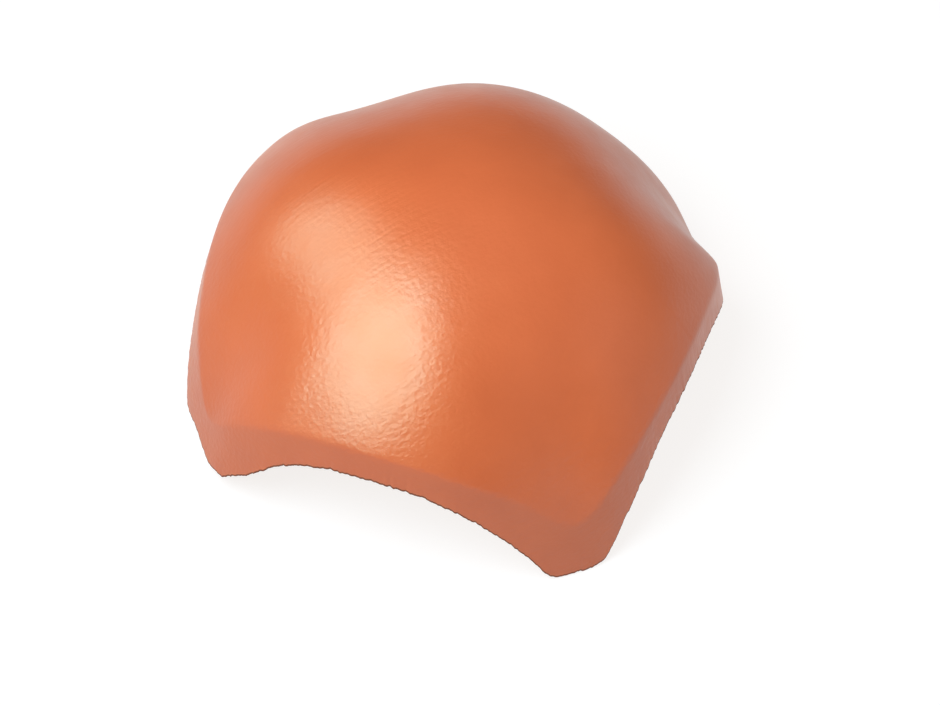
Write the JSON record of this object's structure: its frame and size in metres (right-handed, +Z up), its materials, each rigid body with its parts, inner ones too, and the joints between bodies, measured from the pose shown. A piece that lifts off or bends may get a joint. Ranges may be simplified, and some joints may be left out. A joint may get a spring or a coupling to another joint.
{
  "type": "four-way ridge tile",
  "caption": "Domed ridge cap with an arched opening on each side, closing the point where roof ridges meet; coated concrete, hollow underneath.",
  "frame": {"origin": "on the ground plane, under the apex of the crown", "axes": "+Z up through the apex, the arms and their arches along X and Y, the feet on the diagonals"},
  "size_m": [0.3598, 0.3598, 0.2077],
  "materials": {
    "coated_concrete": "orange-red semi-gloss coat with fine orange-peel bumps, bare at the ragged lower edge and underneath"
  },
  "bodies": {
    "root": {"ridge_tile": "coated_concrete"}
  },
  "joints": []
}
